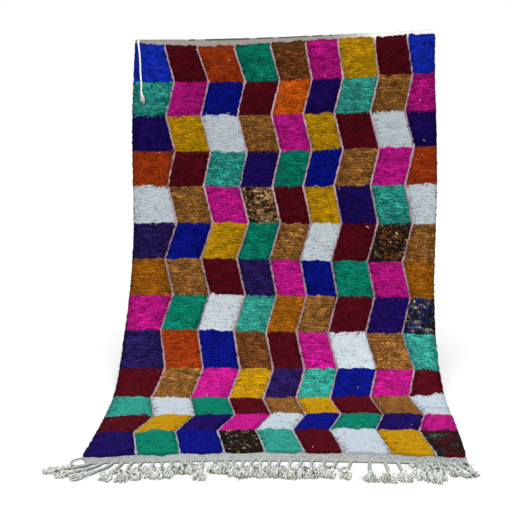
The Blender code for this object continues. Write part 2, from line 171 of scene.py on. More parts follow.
# Surface of the pile: how high lozenges crown, how lumpy they are and how they sink at a band's two lines
GROOVE_SLOPE = (0.002, 0.016)
CROWN = 0.0015
CROWN_REACH = 0.06
LUMPS = 0.0022
SINK = 0.0015
# Waves of the knot rows: size, scale and seed, then how unsteady they are and how much calmer they lie
ROW_WAVES = ((0.0075, 20, 2.9), (0.0060, 52, 6.4))
ROW_JITTER = 0.0012
FLOOR_CALM = 0.76
# Tones of the streaks along the rows, of broader patches and of single knots, and how much the rows swell
STREAK_TONE = 0.30
PATCH_TONE = 0.14
KNOT_TONE = 0.05
SWELL = 0.0016
# The last band over the foot: how far its lozenges bulge, draw back at their ends and ripple
FOOT_BULGE = 0.012
FOOT_DRAW = 0.005
FOOT_RIPPLE = 0.003
# Bands, from and up to, that each piece of the pile holds
PILE_PIECES = ((0, 3), (3, 5), (5, 7), (7, 9), (9, 11), (11, 13))
# Loose strands: tries, how many come at least and more with streaky wool, and how much paler they are
# painted, as a highlight
HAIRS = 98000
HAIR_SHARE = (0.03, 0.38)
HAIR_HIGHLIGHT = 0.14
# Their lengths and thicknesses, the share that is white lint, and how they run, sway and rise
HAIR_LENGTH = (0.010, 0.026)
HAIR_HALF_WIDTH = (0.0008, 0.0015)
LINT = 0.0008
HAIR_PATH = ((0.0, 0.0, -0.0030), (0.45, 0.40, 0.0010), (1.0, 1.0, -0.0012))

# Fringe cords, in mm: root from the left, sideways run and length to the knot, tail and its spread
FRINGE = (
    (50, -140, 60, 50, 7),
    (92, -125, 88, 52, 7),
    (134, -104, 108, 52, 8),
    (172, -30, 95, 50, 11),
    (208, -12, 100, 52, 12),
    (246, -5, 82, 50, 12),
    (286, 6, 70, 50, 8),
    (322, 2, 84, 48, 8),
    (358, 3, 72, 50, 10),
    (396, 4, 44, 42, 8),
    (432, 2, 52, 40, 8),
    (478, 4, 95, 50, 12),
    (526, 6, 40, 42, 10),
    (566, 3, 50, 44, 8),
    (602, 0, 68, 46, 8),
    (638, -2, 84, 50, 8),
    (672, -1, 70, 50, 8),
    (706, 0, 78, 48, 8),
    (740, -1, 76, 50, 8),
    (776, -2, 82, 48, 9),
    (820, -3, 88, 50, 10),
    (862, -3, 84, 50, 11),
    (904, -5, 76, 50, 11),
    (952, -12, 70, 50, 8),
    (996, -20, 74, 52, 8),
    (1052, -18, 80, 54, 8),
    (1125, -4, 92, 58, 20),
    (1182, 5, 98, 56, 17),
    (1231, 13, 86, 56, 15),
    (1300, 6, 56, 62, 6),
    (1328, 7, 70, 66, 6),
    (1356, 6, 76, 68, 6),
    (1383, 4, 60, 60, 5),
    (1414, 12, 34, 46, 5),
    (1442, 20, 44, 44, 4),
    (1470, 24, 40, 38, 4),
)
# Corner ring: a cord end that curls back at the left of the foot, as steps across and down the cloth, mm
RING_PATH = (
    (26, -6),
    (12, 6),
    (-4, 12),
    (-20, 16),
    (-36, 6),
    (-42, -12),
    (-36, -30),
    (-22, -40),
    (-12, -46),
    (4, -48),
)
RING_ROOT = 0.014
CORNER_CUT = 0.034

# Cords of the fringe: a ply's radius, the height of the middle, one twist's length, and the knots
PLY_RADIUS = 0.0037
CORD_REST = 0.0070
PLY_PITCH = 0.016
KNOT_RADIUS = 0.0072
KNOT_HALF_LENGTH = 0.009
KNOT_WRAPS = 2.4
KNOT_PLY = 0.0019
# Loose threads lie at the ends of cords rooted before the first place, and over those after the second, in mm
TANGLED_TO = 1000
HEAPED_FROM = 1290

# Wool at the side edges: steps of the cord, locks, how far they stand out, and their length, sway and height
EDGE_ROWS = 420
EDGE_LOCKS = 1500
LOCK_REACH = 0.0065
LOCK_PATH = ((0.0, 0.0, 1.0), (0.5, 0.6, 1.0), (1.0, 1.0, 0.75))

# Corner braid: x, s and h of its route from the top left corner down over the pile
BRAID_ROUTE = (
    (-0.7240, 0.0540, 0.0086),
    (-0.7230, 0.0620, 0.0125),
    (-0.7220, 0.0740, 0.0245),
    (-0.7200, 0.0860, 0.0285),
    (-0.7160, 0.1200, 0.0290),
    (-0.7120, 0.1700, 0.0292),
    (-0.7100, 0.2300, 0.0290),
    (-0.7065, 0.2700, 0.0290),
    (-0.7060, 0.3200, 0.0290),
)
# Its width, the length of one plait, how far the strands sway and lift, their radius, and the tassel
BRAID_PITCH = 0.030
BRAID_SWAY = 0.0023
BRAID_LIFT = 0.0013
BRAID_STRAND = 0.0021
TASSEL_LENGTH = 0.062
TASSEL_WAY = (0.18, 1.0)

# Camera, fitted to the photograph's frame of 512 by 512
CAMERA_AT = (0.114, -4.287, -0.081)
YAW = math.radians(3.4)
PITCH = math.radians(13.57)
ROLL = math.radians(-0.16)
LENS = 58.88

# Floor and lamp
FLOOR_HALF_SIZE = 14.0
FLOOR_TONE = 0.335
LAMP_STRENGTH = 7.5
LAMP_SPREAD = math.radians(70)
LAMP_TILT = math.radians(8)

rng = np.random.default_rng(11)


def three_point(values, x):
    """The smooth curve through three values at the left edge, the middle and the right edge."""
    t = x / HALF_WIDTH
    left, middle, right = values[:3]
    return middle + t * (right - left) / 2 + t * t * ((right + left) / 2 - middle)


def smooth(low, high, value):
    """A soft step from 0 at low to 1 at high."""
    t = np.clip((value - low) / (high - low), 0.0, 1.0)
    return t * t * (3 - 2 * t)


def boundary_row(k):
    """Where the line under band k lies at the left, the middle and the right, with k = 0 its top."""
    return [start + sum(band[i] for band in BANDS[:k]) / 1000 for i, start in enumerate(FIELD_TOP)]


BOUNDARIES = [boundary_row(k) for k in range(len(BANDS) + 1)]
FOOT = [BOUNDARIES[-1][i] + BAND_DEPTH[i] for i in range(3)]


def sag(x):
    """How far the field's first line sags at x."""
    return SAG * np.exp(-(((x - SAG_AT) / SAG_WIDTH) ** 2))


def row_line(k, part, x):
    """How far down the cloth a row lies at x, with the sag of the first line fading out down its band."""
    ends = [a + (b - a) * part for a, b in zip(BOUNDARIES[k], BOUNDARIES[k + 1])]
    return three_point(ends, x) + (sag(x) * (1 - part) if k == 0 else 0.0)


def side_edge(s, edge):
    """x of a side edge down the cloth."""
    middle, size, crest, length = edge
    return middle + size * np.cos(2 * math.pi * (s - crest) / length)


def left_edge(s):
    """x of the left edge."""
    return side_edge(s, LEFT_EDGE)


def right_edge(s):
    """x of the right edge."""
    return side_edge(s, RIGHT_EDGE)


def drift(u, v):
    """How far the columns bow away from even places, as a share of the width."""
    to_right = smooth(0.2, 0.65, u)
    left_bow = LEFT_BOW[0] * math.sin(math.pi * v) + LEFT_BOW[1]
    right_bow = RIGHT_BOW[0] * v + RIGHT_BOW[1]
    return (left_bow * (1 - to_right) + right_bow * to_right) * 4 * u * (1 - u)


def wander(k, u):
    """How far the column lines leave their even zigzag on a few of the lines under bands."""
    if k == 0:
        return -FIRST_SHIFT * math.sin(2 * math.pi * (u - 0.05))
    if k == MIDDLE_LINE:
        return -MIDDLE_SHIFT * (1 - smooth(0.3, 0.6, u))
    if k == len(BANDS) - 1:
        return -LAST_SHIFT * (1 - smooth(0.65, 0.85, u))
    return FOOT_SHIFT if k == len(BANDS) else 0.0


def separators(k):
    """Shares of the width at which the columns meet on the line under band k, with both edges."""
    total = sum(COLUMNS)
    shares = [0.0]
    for j in range(1, len(COLUMNS)):
        even = sum(COLUMNS[:j]) / total
        zigzag = ZIGZAG * (-1 if k % 2 == 0 else 1) + wander(k, even)
        shares.append(even + zigzag / (2 * HALF_WIDTH) + drift(even, k / len(BANDS)))
    return shares + [1.0]


SEPARATORS = np.array([separators(k) for k in range(len(BANDS) + 1)])


def fold(x, s):
    """How far the hanging cloth stands off its even curve, fading out where it lies on the floor."""
    hanging = smooth(0.0, 0.5, HANG_LENGTH - s)
    long_wave = WAVE_HEIGHTS[0] * np.sin(2 * math.pi * (x / 1.1 + s / 2.3))
    waves = long_wave + WAVE_HEIGHTS[1] * np.sin(7.5 * x - 1.0)
    across = (x - CREASE_AT[0]) / CREASE_SIZE[0]
    along = (s - CREASE_AT[1] - CREASE_SLANT * (x - CREASE_AT[0])) / CREASE_SIZE[1]
    crease = CREASE_HEIGHT * np.exp(-across * across - along * along)
    return waves * hanging * smooth(0.0, 0.25, s) + crease * smooth(0.0, 0.06, HANG_LENGTH - s)


def lying(s):
    """How far the cloth has come to lie: 0 where it hangs, 1 where it lies."""
    return smooth(HANG_LENGTH - FLOOR_BLEND, HANG_LENGTH, s)


def drape(s):
    """Forward run, height and outward direction of the back of the cloth at s."""
    rest = HANG_LENGTH - s
    hangs = rest > 0
    slant = np.hypot(BEND_RADIUS, rest)
    run = np.where(hangs, HANG_RUN - BEND_RADIUS * np.arcsinh(rest / BEND_RADIUS), HANG_RUN - rest)
    height = np.where(hangs, slant - BEND_RADIUS, 0.0)
    return run, height, np.where(hangs, rest / slant, 0.0), np.where(hangs, BEND_RADIUS / slant, 1.0)


START_RUN, START_HEIGHT = (float(value) for value in drape(np.float64(TOP_EDGE[1]))[:2])
FLOOR = -START_HEIGHT


def place(points):
    """Points of x, s and h, in an array whose last axis is 3, as points in space."""
    x, s, h = np.moveaxis(np.asarray(points, float), -1, 0)
    run, height, out, up = drape(s)
    h = h + fold(x, s)
    return np.stack([x, START_RUN - run - h * out, height + h * up - START_HEIGHT], axis=-1)


def noise_at(x, s, scale, seed):
    """Soft noise from about -1 to 1 at each place."""
    flat = [noise.noise((a * scale, b * scale, seed)) for a, b in zip(np.ravel(x), np.ravel(s))]
    return np.array(flat).reshape(np.shape(x))


def long_streaks(x, s):
    """Tone of the streaks that run along the knot rows."""
    return STREAK_TONE * noise_at(x, s * 4, 30, 0.6)


def lozenge_at(x, s):
    """Band, column, share down the band and distance to the nearest line between columns, for each place."""
    lines = np.stack([three_point(row, x) for row in BOUNDARIES])
    lines[0] += sag(x)
    band = np.clip((s[None] > lines).sum(0) - 1, 0, len(BANDS) - 1)
    at = np.arange(len(x))
    part = np.clip((s - lines[band, at]) / (lines[band + 1, at] - lines[band, at]), 0, 1)
    left = left_edge(s) + SELVEDGE_WIDTH
    width = right_edge(s) - SELVEDGE_WIDTH - left
    share = (x - left) / width
    lines_x = SEPARATORS[band] + (SEPARATORS[band + 1] - SEPARATORS[band]) * part[:, None]
    column = np.clip((share[:, None] > lines_x[:, 1:-1]).sum(1), 0, len(COLUMNS) - 1)
    gap = np.abs(share[:, None] - lines_x[:, 1:-1]).min(1) * width
    return band, column, part, gap


def linear(colour):
    """An sRGB colour out of 255 as the renderer's own light values."""
    c = np.asarray(colour[:3], float) / 255
    return np.where(c <= 0.04045, c / 12.92, ((c + 0.055) / 1.055) ** 2.4)


def wool_colours(band, column, x, s):
    """Each place's wool, in short streaks where its lozenge is mixed, and how streaky that wool is."""
    out = np.zeros((len(band), 4))
    for k, row in enumerate(BANDS):
        for j, name in enumerate(row[3].split()):
            here = np.nonzero((band == k) & (column == j))[0]
            across, down, wools = MIXES.get(name, (0, 0, ((name, 1.0),)))
            pick = np.zeros(len(here))
            if name in MIXES:
                streaks = 0.6 * noise_at(x[here] * across, s[here] * down, 1, 4.4)
                pick = np.clip(0.5 + streaks + rng.normal(0, 0.14, len(here)), 0, 0.999)
            start = 0.0
            for wool, often in wools:
                chosen = here[(pick >= start) & (pick < start + often + 1e-9)]
                out[chosen] = (*linear(WOOLS[wool]), WOOLS[wool][3])
                start += often
    return out[:, :3], out[:, 3]


def varied(colours, amount):
    """Colours whose brightness varies from place to place."""
    return np.clip(colours * np.exp(rng.normal(0, amount, (len(colours), 1))), 0, 1)


def mesh_piece(name, points, faces, colours, cloth, material):
    """A mesh of cloth points with groups of faces, and a colour and a cloth place at each point."""
    mesh = bpy.data.meshes.new(name)
    corners = np.concatenate([group.ravel() for group in faces])
    sizes = np.concatenate([np.full(len(group), group.shape[1]) for group in faces])
    mesh.vertices.add(len(points))
    mesh.vertices.foreach_set("co", place(points).ravel())
    mesh.loops.add(len(corners))
    mesh.loops.foreach_set("vertex_index", corners.astype(np.int32))
    mesh.polygons.add(len(sizes))
    mesh.polygons.foreach_set("loop_start", np.concatenate([[0], np.cumsum(sizes)[:-1]]).astype(np.int32))
    mesh.update(calc_edges=True)
    mesh.polygons.foreach_set("use_smooth", np.ones(len(sizes), bool))
    wool = mesh.attributes.new("wool", "FLOAT_COLOR", "POINT")
    wool.data.foreach_set("color", np.column_stack([colours, np.ones(len(points))]).ravel())
    layer = mesh.uv_layers.new(name="cloth")
    layer.data.foreach_set("uv", cloth[corners].ravel())
    mesh.materials.append(material)
    piece = bpy.data.objects.new(name, mesh)
    bpy.context.scene.collection.objects.link(piece)
    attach(piece, "root")
    return piece


def strand_mesh(centres, half_widths, half_heights, sides, colours):
    """Tapering strands through centres of shape strands x rings x 3, each ending in a point.

    The widths have one value for each strand and ring but the last. Gives points, faces and colours.
    """
    count, rings, _ = centres.shape
    way = np.gradient(centres[..., :2], axis=1)
    way /= np.maximum(np.linalg.norm(way, axis=-1, keepdims=True), 1e-9)
    angles = math.pi / 2 + 2 * math.pi * np.arange(sides) / sides
    body = centres[:, :-1, None, :].repeat(sides, axis=2)
    across = half_widths[..., None] * np.cos(angles)
    body[..., 0] += way[:, :-1, None, 1] * across
    body[..., 1] -= way[:, :-1, None, 0] * across
    body[..., 2] += half_heights[..., None] * np.sin(angles)
    per = (rings - 1) * sides + 1
    points = np.concatenate([body.reshape(count, -1, 3), centres[:, -1:, :]], axis=1)
    ring = np.arange(sides)
    quads = []
    for r in range(rings - 2):
        a, b = r * sides + ring, r * sides + (ring + 1) % sides
        quads.append(np.stack([a, b, b + sides, a + sides], axis=-1))
    last = (rings - 2) * sides
    tips = np.stack([last + ring, last + (ring + 1) % sides, np.full(sides, per - 1)], axis=-1)
    starts = (np.arange(count) * per)[:, None, None]
    faces = [(np.concatenate(quads)[None] + starts).reshape(-1, 4), (tips[None] + starts).reshape(-1, 3)]
    return points.reshape(-1, 3), faces, colours[:, None, :].repeat(per, axis=1).reshape(-1, 3)


def joined(parts):
    """Several sets of points, faces and colours as one."""
    points = []
    faces = {}
    start = 0
    for part_points, part_faces, _ in parts:
        for group in part_faces:
            faces.setdefault(group.shape[1], []).append(group + start)
        points.append(part_points)
        start += len(part_points)
    groups = [np.concatenate(groups) for groups in faces.values()]
    return np.concatenate(points), groups, np.concatenate([part[2] for part in parts])


def closed_sheet(index):
    """Faces of a closed sheet from its grid of front points, whose back points follow them all."""
    behind = index.size
    a, b, c, d = index[:-1, :-1], index[1:, :-1], index[1:, 1:], index[:-1, 1:]
    quads = np.stack([a, b, c, d], axis=-1).reshape(-1, 4)
    rim = np.concatenate([index[0, :-1], index[:-1, -1], index[-1, :0:-1], index[:0:-1, 0]])
    following = np.roll(rim, -1)
    walls = np.stack([rim, following, following + behind, rim + behind], axis=-1)
    return [np.concatenate([quads, quads[:, ::-1] + behind, walls])]


def new_material(name, roughness):
    """A cloth material of the given roughness, without metal and with little shine, and its nodes."""
    material = bpy.data.materials.new(name)
    material.use_nodes = True
    nodes = material.node_tree.nodes
    shader = nodes["Principled BSDF"]
    shader.inputs["Roughness"].default_value = roughness
    shader.inputs["Metallic"].default_value = 0.0
    shader.inputs["Specular IOR Level"].default_value = 0.04
    return material, nodes, material.node_tree.links, shader


def wool_material(name, roughness, fibre, shades, bump):
    """Wool with fine fibres: their scale across and along the cloth, their darkest and lightest shade."""
    material, nodes, links, shader = new_material(name, roughness)
    wool = nodes.new("ShaderNodeAttribute")
    wool.attribute_name = "wool"
    spot = nodes.new("ShaderNodeUVMap")
    spot.uv_map = "cloth"
    stretch = nodes.new("ShaderNodeMapping")
    stretch.inputs["Scale"].default_value = (fibre[0], fibre[1], 1.0)
    fine = nodes.new("ShaderNodeTexNoise")
    fine.inputs["Scale"].default_value = 1.0
    fine.inputs["Detail"].default_value = 3.0
    shade = nodes.new("ShaderNodeMapRange")
    shade.inputs["From Min"].default_value = 0.25
    shade.inputs["From Max"].default_value = 0.75
    shade.inputs["To Min"].default_value = shades[0]
    shade.inputs["To Max"].default_value = shades[1]
    tint = nodes.new("ShaderNodeVectorMath")
    tint.operation = "SCALE"
    relief = nodes.new("ShaderNodeBump")
    relief.inputs["Strength"].default_value = bump
    relief.inputs["Distance"].default_value = 0.001
    links.new(spot.outputs["UV"], stretch.inputs["Vector"])
    links.new(stretch.outputs["Vector"], fine.inputs["Vector"])
    links.new(fine.outputs["Fac"], shade.inputs["Value"])
    links.new(wool.outputs["Color"], tint.inputs[0])
    links.new(shade.outputs["Result"], tint.inputs["Scale"])
    links.new(tint.outputs["Vector"], shader.inputs["Base Color"])
    links.new(fine.outputs["Fac"], relief.inputs["Height"])
    links.new(relief.outputs["Normal"], shader.inputs["Normal"])
    return material


def pile_top(x, s, part, gap):
    """How high the pile stands above the back of the cloth."""
    groove = GROOVE * (1 - smooth(*GROOVE_SLOPE, gap))
    crown = CROWN * smooth(0.0, CROWN_REACH, gap)
    lumps = LUMPS * (noise_at(x, s, 21, 3.7) + 0.5 * noise_at(x, s, 47, 9.1))
    sink = SINK * (1 - np.sin(math.pi * part))
    return GROUND + PILE - groove + crown - sink + lumps


def line_places(k, part):
    """x of every column line of a row, with the field's two sides."""
    s = row_line(k, part, np.linspace(-HALF_WIDTH, HALF_WIDTH, len(COLUMNS) + 1))
    left, right = left_edge(s[0]) + FIELD_MARGIN, right_edge(s[-1]) - FIELD_MARGIN
    shares = SEPARATORS[k] + (SEPARATORS[k + 1] - SEPARATORS[k]) * part
    return left + (right - left) * shares


def knot_rows(first, last):
    """Knot rows of the bands from first to last: x, s and share down the band at each step, with lozenges."""
    xs, ss, parts, bands, columns = [], [], [], [], []
    for k in range(first, last):
        for r in range(KNOT_ROWS):
            part = (r + 0.5) / KNOT_ROWS
            lines = line_places(k, part)
            for j in range(len(COLUMNS)):
                start = lines[j] + (LINE_HALF_WIDTH if j > 0 else 0) + rng.normal(0, RAGGED)
                end = lines[j + 1] - (LINE_HALF_WIDTH if j < len(COLUMNS) - 1 else 0) + rng.normal(0, RAGGED)
                x = np.linspace(start, end, ROW_STEPS + 1)
                xs.append(x)
                ss.append(row_line(k, part, x))
                parts.append(part)
                bands.append(k)
                columns.append(j)
    return np.array(xs), np.array(ss), np.array(parts), np.array(bands), np.array(columns)


def build_rows(first, last):
    """The knot rows of some bands as wavy overlapping ridges. Gives points, faces and colours."""
    x, s, part, band, column = knot_rows(first, last)
    count, steps = x.shape
    middle = (x - x.mean(axis=1, keepdims=True)) / (x[:, -1:] - x[:, :1])
    gap = (0.5 - np.abs(middle)) * (x[:, -1:] - x[:, :1])
    top = pile_top(x, s, part[:, None], gap)
    wave = sum(size * noise_at(x, s, scale, seed) for size, scale, seed in ROW_WAVES)
    wave = wave + rng.normal(0, ROW_JITTER, x.shape)
    swell = SWELL * noise_at(x, s, 44, 1.7) + rng.normal(0, 0.0002, x.shape)
    depth = (three_point(BOUNDARIES[last], 0.0) - three_point(BOUNDARIES[first], 0.0)) / (last - first)
    pitch = depth / KNOT_ROWS
    grid = np.zeros((count, steps, len(ROW_PROFILE), 3))
    shade = np.zeros(grid.shape[:3])
    calm = 1 - FLOOR_CALM * lying(s)
    streak = long_streaks(x, s) + PATCH_TONE * noise_at(x, s, 15, 8.2) + rng.normal(0, KNOT_TONE, x.shape)
    streak = streak * calm
    strong = (0.35 + 1.3 * smooth(-0.35, 0.35, noise_at(x, s * 3, 30, 1.3))) * calm
    usual_streaks = wool_colours(band, column, x[:, 0], s[:, 0])[1]
    rough = (0.30 + 0.40 * np.minimum(usual_streaks, 2.0))[:, None] * calm
    for p, (along, height, tone) in enumerate(ROW_PROFILE):
        grid[:, :, p, 0] = x
        grid[:, :, p, 1] = s + wave + (along - 0.5) * pitch
        grid[:, :, p, 2] = top + (height + swell * (1 if p > 0 else 0)) * rough
        # Painted shade at each row's tuck and tip and painted highlight on its crest, scaled from place to
        # place by strong, with the wool's own streaks
        shade[:, :, p] = tone * strong + streak
    bulge = FOOT_BULGE * (1 - (2 * middle) ** 2) - FOOT_DRAW + FOOT_RIPPLE * noise_at(x, s * 0, 22, 8.8)
    grid[..., 1] += (bulge * (band == len(BANDS) - 1)[:, None] * part[:, None] ** 3)[..., None]
    closing = (band == len(BANDS) - 1) & (part > 1 - 1 / KNOT_ROWS)
    grid[closing, :, -1, 2] = BAND_THICK - 0.001
    each = steps * len(ROW_PROFILE)
    flat_x, flat_s = grid[..., 0].ravel(), grid[..., 1].ravel()
    wools, streaky = wool_colours(np.repeat(band, each), np.repeat(column, each), flat_x, flat_s)
    wools = wools.reshape(*shade.shape, 3)
    tones = np.exp(streaky.reshape(shade.shape) * shade)[..., None]
    index = np.arange(grid[..., 0].size).reshape(grid.shape[:3])
    a, b, c, d = index[:, :-1, :-1], index[:, :-1, 1:], index[:, 1:, 1:], index[:, 1:, :-1]
    faces = [np.stack([a, b, c, d], axis=-1).reshape(-1, 4)]
    return grid.reshape(-1, 3), faces, np.clip(wools * tones, 0, 1).reshape(-1, 3)


def build_hairs(first, last):
    """Fine strands of wool that lie down over the knot rows of some bands."""
    count = HAIRS * (last - first) // len(BANDS)
    low, high = three_point(BOUNDARIES[first], 0.0), three_point(BOUNDARIES[last], 0.0)
    s = rng.uniform(low - 0.05, high + 0.05, count)
    x = rng.uniform(-HALF_WIDTH, HALF_WIDTH, count)
    band, column, part, gap = lozenge_at(x, s)
    top_line = row_line(0, 0.0, x)
    foot_line = three_point(BOUNDARIES[-1], x)
    inside = (s > top_line + 0.003) & (s < foot_line - 0.020)
    inside &= (x > left_edge(s) + 0.004) & (x < right_edge(s) - 0.004)
    wools, streaky = wool_colours(band, column, x, s)
    hairy = rng.random(count) < HAIR_SHARE[0] + HAIR_SHARE[1] * streaky
    kept = inside & hairy & (band >= first) & (band < last) & (gap > LINE_HALF_WIDTH + 0.0025)
    x, s, part, gap, wools, streaky = (values[kept] for values in (x, s, part, gap, wools, streaky))
    count = len(x)
    calm = 1 - FLOOR_CALM * lying(s)
    # The last term lifts every strand's tone: a painted highlight that also lightens the shade on the
    # strands' sides
    tones = streaky * calm * (rng.normal(0.02, 0.22, count) + long_streaks(x, s)) + HAIR_HIGHLIGHT
    top = pile_top(x, s, part, gap)
    length = rng.uniform(*HAIR_LENGTH, count)
    sway = rng.normal(0, 0.0100, count) + 0.026 * noise_at(x, s, 22, 6.1)
    reach = gap * np.where(rng.random(count) < 0.4, 2.2, 0.9)
    sway = np.clip(sway, -reach, reach)
    sway = np.clip(sway, left_edge(s) + FIELD_MARGIN - x, right_edge(s) - FIELD_MARGIN - x)
    centres = np.zeros((count, 3, 3))
    for i, (along, sideways, height) in enumerate(HAIR_PATH):
        centres[:, i, 0] = x + sway * sideways
        centres[:, i, 1] = s + along * length
        centres[:, i, 2] = top + height + rng.normal(0, 0.0005, count)
    half = rng.uniform(*HAIR_HALF_WIDTH, (count, 1)) * np.array([0.7, 1.1])
    shades = np.clip(wools * np.exp(tones)[:, None], 0, 1)
    shades[rng.random(count) < LINT] = linear(WOOLS["bleached"])
    return strand_mesh(centres, half, half * 0.4, 3, shades)


def build_pile(material):
    """The knotted pile in pieces of a few bands each: knot rows with hair over them."""
    pieces = []
    for first, last in PILE_PIECES:
        points, faces, shades = joined([build_rows(first, last), build_hairs(first, last)])
        name = f"pile_bands_{first + 1}_to_{last}"
        piece = mesh_piece(name, points, faces, shades, points[:, :2], material)
        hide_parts("pile_field")
        pieces.append(piece)
    return pieces


def build_lines(material):
    """The pale lines between columns: rounded ribs of undyed wool that zigzag down the field."""
    across = np.linspace(-1, 1, 5)
    grids = []
    for k in range(len(BANDS)):
        for part in np.arange(LINE_STEPS) / LINE_STEPS:
            grids.append((k, part))
    grids.append((len(BANDS) - 1, 1.0))
    x = np.array([line_places(k, part)[1:-1] for k, part in grids])
    s = np.array([row_line(k, part, row) for (k, part), row in zip(grids, x)])
    x = x + 0.0022 * noise_at(x, s, 48, 3.1) + rng.normal(0, 0.0004, x.shape)
    half = LINE_HALF_WIDTH * (1.15 + 0.55 * noise_at(x, s, 70, 5.2))
    half = half * (1 - 0.20 * lying(s))
    grid = np.zeros((*x.shape, len(across), 3))
    grid[..., 0] = x[..., None] + half[..., None] * across
    grid[..., 1] = s[..., None]
    crest = GROUND + PILE - GROOVE * 0.75 + 0.0012 * noise_at(x, s, 90, 7.7)
    grid[..., 2] = crest[..., None] - 0.0035 * across**2
    grid[-1, ..., 2] = BAND_THICK - 0.001
    index = np.arange(grid[..., 0].size).reshape(grid.shape[:3])
    a, b, c, d = index[:-1, :, :-1], index[1:, :, :-1], index[1:, :, 1:], index[:-1, :, 1:]
    faces = [np.stack([a, b, c, d], axis=-1).reshape(-1, 4)]
    # Painted shade on the pale lines where they sink between the pile: none near the top, growing down the
    # cloth and full below the span's end
    painted_line_shade = LINE_SHADE_DEPTH * smooth(*LINE_SHADE_SPAN, s)
    patchy = 0.45 * noise_at(x, s, 11, 2.2) + 0.20 * noise_at(x, s * 2, 60, 2.2)
    tones = np.exp(patchy - painted_line_shade + rng.normal(0, 0.05, x.shape))
    bluish = smooth(*BLUISH_SPAN, s)[..., None]
    wool = linear(WOOLS["pale"]) * (1 - bluish) + linear(WOOLS["lilac"]) * bluish
    shades = np.clip(wool * tones[..., None], 0, 1)[..., None, :]
    shades = np.broadcast_to(shades, grid.shape)
    points = grid.reshape(-1, 3)
    piece = mesh_piece("pale_lines", points, faces, shades.reshape(-1, 3), points[:, :2], material)
    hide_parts("pile_field")
    return piece


def build_ground(material):
    """The woven ground: a thin closed sheet with the knots' colours on its back."""
    across, down = 90, 70
    us = np.linspace(0, 1, across + 1)
    rows = []
    for v in np.linspace(0, 1, down + 1):
        ends = [a + (b - a) * v for a, b in zip(BOUNDARIES[0], BOUNDARIES[-1])]
        left, right = float(left_edge(ends[1])), float(right_edge(ends[1]))
        x = left + (right - left) * us
        rows.append(np.stack([x, three_point(ends, x) + sag(x) * (1 - v) ** 8], axis=-1))
    grid = np.stack(rows)
    flat = grid.reshape(-1, 2)
    back_relief = 0.0006 * rng.random(len(flat))
    front = np.column_stack([flat, np.full(len(flat), GROUND)])
    back = np.column_stack([flat, back_relief])
    index = np.arange(len(flat)).reshape(grid.shape[:2])
    faces = closed_sheet(index)
    x, s = flat.T
    band, column, _, gap = lozenge_at(x, s)
    colours, _ = wool_colours(band, column, x, s)
    colours[gap < 0.004] = linear(WOOLS["pale"])
    back_colours = varied(colours * 0.8 + 0.02, 0.10)
    points = np.concatenate([front, back])
    shades = np.concatenate([colours * 0.7, back_colours])
    piece = mesh_piece("woven_ground", points, faces, shades, points[:, :2], material)
    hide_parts("pile_field")
    return piece


def build_band(name, top, foot, thick, node, material, shade, hem):
    """A flat-woven band between two lines down the cloth, with a speckled weave and a rolled hem."""
    across, down = 300, 10
    edge_s = top[1]
    left, right = float(left_edge(edge_s)), float(right_edge(edge_s))
    u, v = np.meshgrid(np.linspace(0, 1, across + 1), np.linspace(0, 1, down + 1))
    cut = CORNER_CUT * v**1.5 * (1 - u) ** 6 if hem == "foot" else 0
    x = left + (right - left) * u + cut
    foot_line = three_point(foot, x) + (sag(x) if node == "top_heading" else 0)
    s = three_point(top, x) + (foot_line - three_point(top, x)) * v
    s = s + 0.0012 * noise_at(x, s * 0, 26, 3.3) * (v if hem == "foot" else 1 - v)
    rib = 0.0005 * np.sin(v * math.pi * down) + 0.0006 * noise_at(x, s, 150, 4.0)
    roll = 0.0016 * np.exp(-(((1 - v) if hem == "foot" else v) * 9) ** 2)
    flat = np.column_stack([x.ravel(), s.ravel()])
    front = np.column_stack([flat, (thick + rib + roll).ravel()])
    back = np.column_stack([flat, np.zeros(len(flat))])
    index = np.arange(len(flat)).reshape(x.shape)
    faces = closed_sheet(index)
    colours = shade(x.ravel(), s.ravel(), v.ravel())
    points = np.concatenate([front, back])
    shades = np.concatenate([colours, colours * 0.85])
    piece = mesh_piece(name, points, faces, shades, points[:, :2], material)
    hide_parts(node)
    return piece


def top_shade(x, s, v):
    """The heading's pale weave, with pink specks and a dark stripe along part of its upper edge."""
    colours = speckled(x, s)
    worn = smooth(-0.5, 0.1, noise_at(x, s, 60, 5.5) + 3 * (x - 0.25))
    whiter = (0.96 * smooth(0.22, 0.50, x) * worn)[:, None]
    colours = colours * (1 - whiter) + whiter * linear(WOOLS["bleached"])
    dark = (x > -0.47) & (x < 0.24) & (v < 0.15) & (noise_at(x, s, 24, 6.6) > -0.3)
    colours[dark] = linear(WOOLS["ash"])
    return varied(colours, 0.05)


def foot_shade(x, s, v):
    """The foot band's pale weave, with dark specks and fine darker stripes towards the right."""
    colours = speckled(x, s) * 0.2 + 0.8 * linear(WOOLS["foot"])
    colours *= (1 - 0.13 * smooth(0.30, 0.65, np.abs(x)))[:, None]
    specks = noise_at(x + 0.3 * s, s * 0.7, 170, 9.9) > 0.37
    colours[specks] *= 0.40
    striped = (np.abs((v * 6) % 2 - 1) < 0.25) & (x > 0.0) & (noise_at(x, s * 3, 12, 2.7) > -0.1)
    colours[striped] *= 0.78
    return varied(colours, 0.05)


def speckled(x, s):
    """Undyed weave with blush specks."""
    colours = np.tile(linear(WOOLS["weave"]), (len(x), 1))
    blush = smooth(0.0, 0.5, noise_at(x, s * 1.5, 90, 7.1))[:, None] * 0.7
    return colours * (1 - blush) + linear(WOOLS["blush"]) * blush


